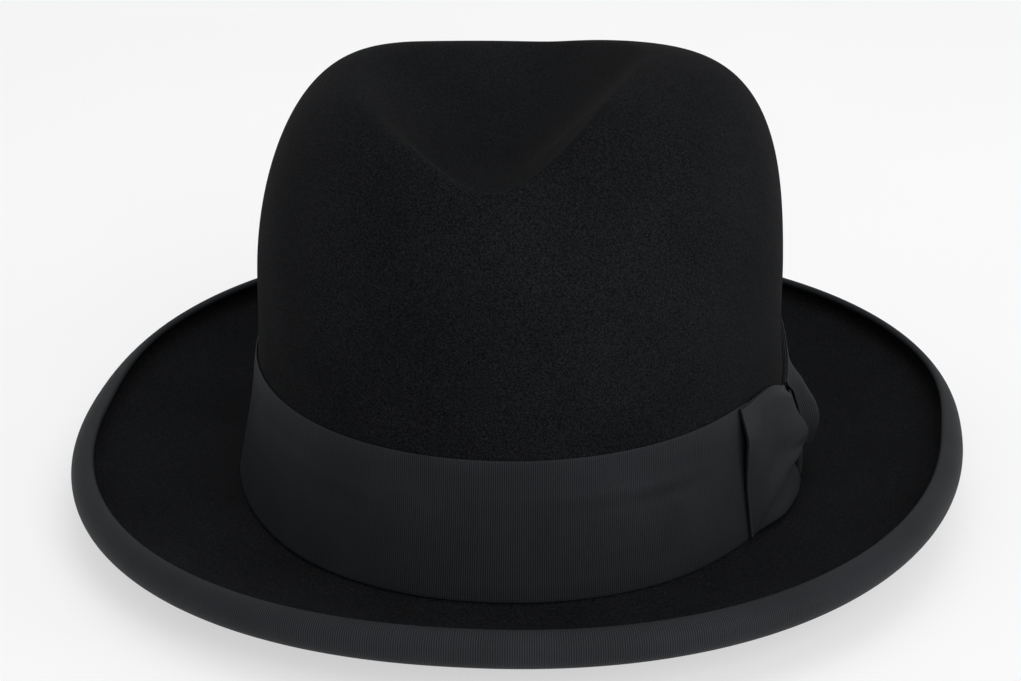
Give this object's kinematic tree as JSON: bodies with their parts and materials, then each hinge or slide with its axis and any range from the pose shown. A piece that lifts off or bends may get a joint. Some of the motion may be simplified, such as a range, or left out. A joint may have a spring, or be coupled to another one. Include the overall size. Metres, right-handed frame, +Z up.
{
  "type": "homburg hat",
  "caption": "Black felt homburg hat with a centre crease, a rolled bound brim, a grosgrain band and a flat side bow.",
  "frame": {"origin": "centre of the bounding box at the level that the hat rests on", "axes": "+Z up through the crown, +Y to the wearer's back, +X to the wearer's left, where the bow is"},
  "size_m": [0.273, 0.3156, 0.1381],
  "materials": {
    "black_felt": "matt wool or fur felt, short nap",
    "black_grosgrain": "ribbed grosgrain ribbon, slight sheen"
  },
  "bodies": {
    "root": {"felt_body": "black_felt", "hatband": "black_grosgrain", "brim_binding": "black_grosgrain", "bow_front_loop": "black_grosgrain", "bow_rear_loop": "black_grosgrain", "bow_keeper": "black_grosgrain"}
  },
  "joints": []
}
